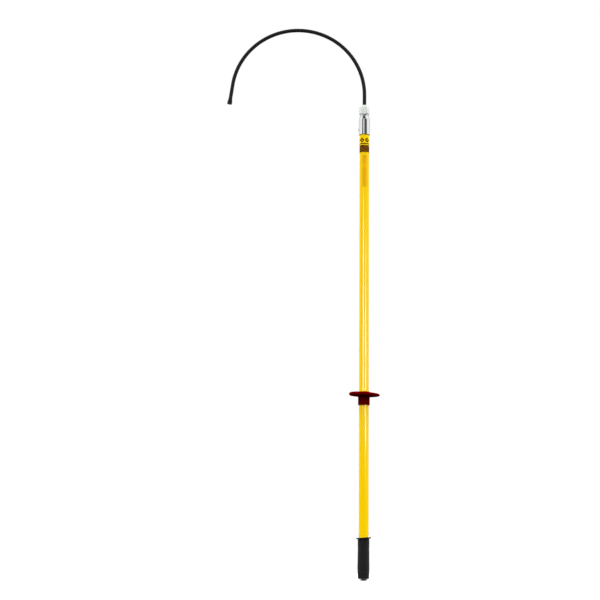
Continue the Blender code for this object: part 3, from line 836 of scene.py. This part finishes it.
def makeGrip():
    size = gripSizes
    low, high, lip = nodeSpan("grip")
    bore = boreOnTube()
    body, hem = size["body"], low - size["hem"]
    under = high - size["lipThickness"]
    profile = [(bore, high - 0.6 * mm, 0.3 * mm), (bore + 1.6 * mm, high, 0.6 * mm),
               (lip, high, 1.1 * mm), (lip, under, 1.1 * mm), (body, under - 0.2 * mm, 1.2 * mm)]
    profile += [(body + past * mm, low + height * mm, rounding * mm)
                for height, past, rounding in gripOutline]
    profile += [(body - 1.2 * mm, hem, 0.8 * mm), (bore, hem, 0.3 * mm)]

    def press(v):  # the lip sits a little askew, and the palm side swells
        share = fairStep(high - size["lipFrom"], high - size["lipTo"], v.z)
        lift = (size["lipTilt"] * v.x - size["lipDrop"]) * share
        palm = 1.0 - size["palmFade"] * fairStep(low + size["palmLow"], low + size["palmHigh"], v.z)
        outside = fairStep(bore + 0.6 * mm, body, Vector((v.x, v.y)).length)
        push = -size["swellOneSided"] * palm * outside * fairStep(0.0, 1.0, -v.x / body)
        return Vector((v.x + push, v.y, v.z + lift))

    mesh = turnedMesh("grip", profile, closed=True, sides=128, steps=5, bend=press)
    addPiece("rubberGrip", mesh, "grip", "pole", "grip_rubber", "grip")


buttSizes = {"foot": 9.0 * mm, "dome": 8.5 * mm, "shoulder": 12.0 * mm, "spigot": 12.7 * mm,
             "groove": 10.7 * mm, "grooveLow": 24.0 * mm, "grooveHigh": 26.6 * mm,
             "domeSteps": 12}


def makeButt():
    size = buttSizes
    low, high, radius = nodeSpan("butt_plug")
    dome = []
    for k in range(size["domeSteps"] + 1):
        turn = pi / 2 * k / size["domeSteps"]
        dome.append((size["foot"] + (radius - size["foot"]) * cos(turn),
                     low + size["dome"] * (1 - sin(turn))))
    profile = [(0.0, high), (size["spigot"], high, 0.8 * mm),
               (size["spigot"], low + size["grooveHigh"], 0.2 * mm),
               (size["groove"], low + size["grooveHigh"], 0.2 * mm),
               (size["groove"], low + size["grooveLow"], 0.2 * mm),
               (size["spigot"], low + size["grooveLow"], 0.2 * mm),
               (size["spigot"], low + size["shoulder"], 0.2 * mm),
               (radius, low + size["shoulder"], 0.3 * mm)] + dome + [(0.0, low)]
    mesh = turnedMesh("buttPlug", profile, closed=False, sides=128, steps=3)
    addPiece("buttPlug", mesh, "butt", "pole", "butt_metal", "butt_plug")


makePole()
makeLabels()
print("pole and labels made")
makeHead()
makeThread()
makePin()
makeNut()
print("head and nut made")
makeSleeve()
makeFerrule()
makeTipCap()
print("hook made")
makeGuard()
makeGrip()
makeButt()
print("guard, grip and butt made")


floorSize = {"half": 14.0, "below": 0.3 * mm, "glow": 0.35}


def makeFloor():
    half = floorSize["half"]
    mesh = bpy.data.meshes.new("floor")
    mesh.from_pydata([(-half, -half, 0), (half, -half, 0), (half, half, 0), (-half, half, 0)],
                     [], [(0, 1, 2, 3)])
    floor = bpy.data.objects.new("floor", mesh)
    floor.location = (0.0, 0.0, cadBounds[0].z - floorSize["below"])
    floor.visible_diffuse = False  # the light from below is the world's
    floor.visible_glossy = False
    floor.visible_shadow = False
    bpy.context.scene.collection.objects.link(floor)
    paint = Paint("paleFloor", Specular_IOR_Level=0.0, Emission_Strength=floorSize["glow"],
                  Roughness=0.9)
    paint.shader.inputs["Emission Color"].default_value = (1.0, 1.0, 1.0, 1.0)
    tone = paint.noise(3.0)
    colour = paint.blend(tone, (0.9, 0.9, 0.9, 1.0), (0.93, 0.93, 0.93, 1.0))
    mesh.materials.append(paint.finish(Base_Color=colour))


# The room as bright and dark patches by bearing (0 in front, right positive) and height, in degrees
roomPatches = [
    {"bearing": (-48, -24), "height": (-5, 26), "soft": 3, "light": 0.04},
    {"bearing": (-24, -4), "height": (-5, 26), "soft": 3, "light": 0.95},
    {"bearing": (-4, 50), "height": (-5, 26), "soft": 3, "light": 0.09},
    {"bearing": (-48, 28), "height": (26, 88), "soft": 6, "light": 0.08},
    {"bearing": (-82, 82), "height": (-95, -5), "soft": 12, "light": 0.03},
    {"bearing": (128, 181), "height": (-95, 95), "soft": 8, "light": 0.6},
    {"bearing": (-181, -128), "height": (-95, 95), "soft": 8, "light": 0.6},
]
roomLight = {"shine": 1.0, "backdrop": 1.01, "above": 2.58, "below": 0.4, "belowFront": 0.0,
             "frontHalf": 62, "frontSoft": 10, "aboveFrom": 2, "aboveFull": 22, "fromRight": 0.07}


def makeRoom():
    world = bpy.data.worlds.new("studio")
    bpy.context.scene.world = world
    world.use_nodes = True
    world.cycles.sampling_method = "NONE"
    world.node_tree.nodes.clear()
    room = Nodes(world.node_tree)
    x, y, z = room.parts(room.node("ShaderNodeTexCoord", out="Generated"))
    degrees = 180 / pi
    bearing = room.math("ARCTAN2", x, 0.0 - y) * degrees
    height = room.math("ARCSINE", z) * degrees
    shine = roomLight["shine"]
    for patch in roomPatches:
        soft = patch["soft"]
        inside = (room.within(bearing, *patch["bearing"], soft)
                  * room.within(height, *patch["height"], soft))
        shine = shine + (patch["light"] - shine) * inside
    half = roomLight["frontHalf"]
    front = room.within(bearing, -half, half, roomLight["frontSoft"])
    below = roomLight["below"] + (roomLight["belowFront"] - roomLight["below"]) * front
    rise = room.ramp(height, roomLight["aboveFrom"], roomLight["aboveFull"])
    fill = below + (roomLight["above"] - below) * rise
    fill = fill * (1.0 + roomLight["fromRight"] * x)
    ray = room.tree.nodes.new("ShaderNodeLightPath")
    glossy = Value(room, ray.outputs["Is Glossy Ray"])
    camera = Value(room, ray.outputs["Is Camera Ray"])
    strength = fill + (shine - fill) * glossy
    strength = strength + (roomLight["backdrop"] - strength) * camera
    light = room.node("ShaderNodeBackground", None, {0: (1.0, 1.0, 1.0, 1.0), 1: strength})
    room.feed(room.tree.nodes.new("ShaderNodeOutputWorld").inputs[0], light)


# Two tall strips that only draw highlights down the pole; each is a stack of panels that
# dims towards the top
strips = {
    "leftStrip": {"bearing": -21, "wide": 9, "low": 0.88, "high": 1.95, "full": 1.42,
                  "radiance": 250.0},
    "rightStrip": {"bearing": 37, "wide": 13, "low": 0.63, "high": 1.7, "full": 1.38,
                   "radiance": 190.0},
}
stripSetup = {"distance": 3.0, "panels": 8, "dimmest": 0.2}


def makeStrips():
    shiny = bpy.data.collections.new("shinyPole")
    shiny.objects.link(bpy.data.objects["poleTube"])
    setup = stripSetup
    for name, strip in strips.items():
        wide = 2 * setup["distance"] * tan(radians(strip["wide"] / 2))
        bearing = radians(strip["bearing"])
        tops = [strip["full"]]
        for k in range(1, setup["panels"] + 1):
            tops.append(strip["full"] + (strip["high"] - strip["full"]) * k / setup["panels"])
        for k, (low, high) in enumerate(zip([strip["low"]] + tops, tops)):
            dim = 1.0 - (1.0 - setup["dimmest"]) * k / setup["panels"]
            light = bpy.data.lights.new(name, "AREA")
            light.shape = "RECTANGLE"
            light.size = wide
            light.size_y = high - low
            light.energy = strip["radiance"] * dim * pi * wide * (high - low)
            panel = bpy.data.objects.new(name, light)
            panel.location = (setup["distance"] * sin(bearing), -setup["distance"] * cos(bearing),
                              (low + high) / 2)
            panel.rotation_euler = (pi / 2, 0.0, bearing)
            panel.visible_diffuse = False
            panel.light_linking.receiver_collection = shiny
            bpy.context.scene.collection.objects.link(panel)


cameraSetup = {"place": (-0.2119, -5.8863, 0.0379), "pitch": 8.5, "roll": -0.414,
               "lens": 108.0, "sensor": 36.0}


def makeCamera():
    camera = bpy.data.objects.new("camera", bpy.data.cameras.new("camera"))
    camera.data.lens = cameraSetup["lens"]
    camera.data.sensor_width = cameraSetup["sensor"]
    camera.location = cameraSetup["place"]
    aim = Matrix.Rotation(radians(90 + cameraSetup["pitch"]), 4, "X")
    roll = Matrix.Rotation(radians(-cameraSetup["roll"]), 4, "Z")
    camera.rotation_euler = (aim @ roll).to_euler()
    bpy.context.scene.collection.objects.link(camera)
    bpy.context.scene.camera = camera


makeFloor()
makeRoom()
makeStrips()
makeCamera()
bpy.context.scene.view_settings.view_transform = "Standard"
print("stage ready")
